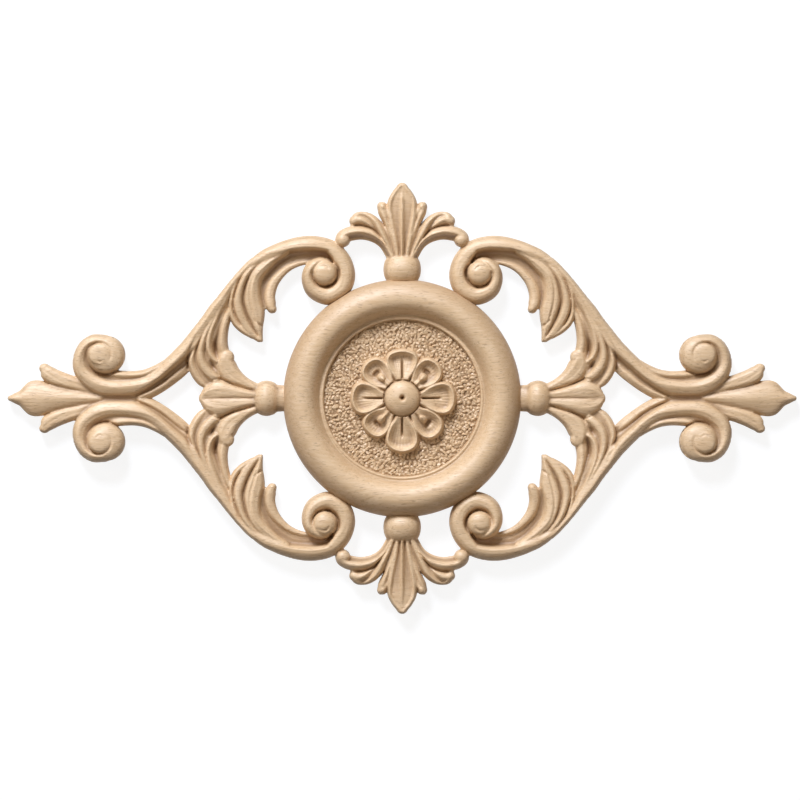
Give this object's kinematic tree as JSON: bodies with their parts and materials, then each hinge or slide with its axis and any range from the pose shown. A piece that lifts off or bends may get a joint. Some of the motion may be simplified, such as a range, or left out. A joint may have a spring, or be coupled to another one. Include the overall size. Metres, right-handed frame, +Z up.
{
  "type": "carved wood pulp applique",
  "caption": "Long carved applique of pressed wood pulp: a round rosette frame between scrolled, leafed stems, with a palmette on each side, flat at the back.",
  "frame": {"origin": "centre of the round frame, on the flat back plane", "axes": "+X along the length, +Z up, +Y into the surface that the applique is fixed to; the carving faces -Y"},
  "size_m": [0.4, 0.016, 0.22],
  "materials": {
    "wood_pulp": "matte"
  },
  "bodies": {
    "root": {"applique": "wood_pulp"}
  },
  "joints": []
}
